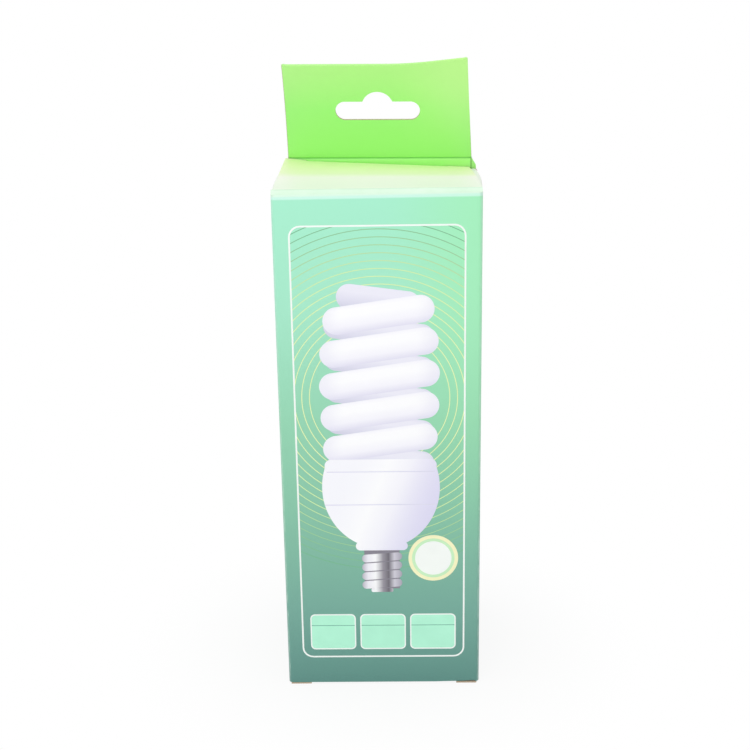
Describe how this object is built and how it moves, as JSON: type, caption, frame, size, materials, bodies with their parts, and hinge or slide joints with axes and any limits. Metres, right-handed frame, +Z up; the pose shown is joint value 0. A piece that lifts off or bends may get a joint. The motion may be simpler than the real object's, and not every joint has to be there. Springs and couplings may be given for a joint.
{
  "type": "hang-tab folding carton",
  "caption": "Upright folding carton of printed board with tuck lids at top and base and a doubled hang tab with a euro slot above its back wall.",
  "frame": {"origin": "middle of the base, on the bottom lid's outer face", "axes": "+X to the right seen from the front, +Y from the front wall to the back wall, +Z up"},
  "size_m": [0.071, 0.067, 0.2235],
  "materials": {
    "printed_board": "glossy coated print outside, plain grey board inside"
  },
  "bodies": {
    "carton": {"carton_body": "printed_board"},
    "top_lid": {"top_lid": "printed_board"},
    "bottom_lid": {"bottom_lid": "printed_board"}
  },
  "joints": [
    {"name": "top_lid_fold", "type": "hinge", "parent": "carton", "child": "top_lid", "pos_m": [0, -0.0335, 0.185], "axis": [1, 0, 0], "range_deg": [0, 135]},
    {"name": "bottom_lid_fold", "type": "hinge", "parent": "carton", "child": "bottom_lid", "pos_m": [0, 0.0335, 0], "axis": [1, 0, 0], "range_deg": [0, 135]}
  ]
}
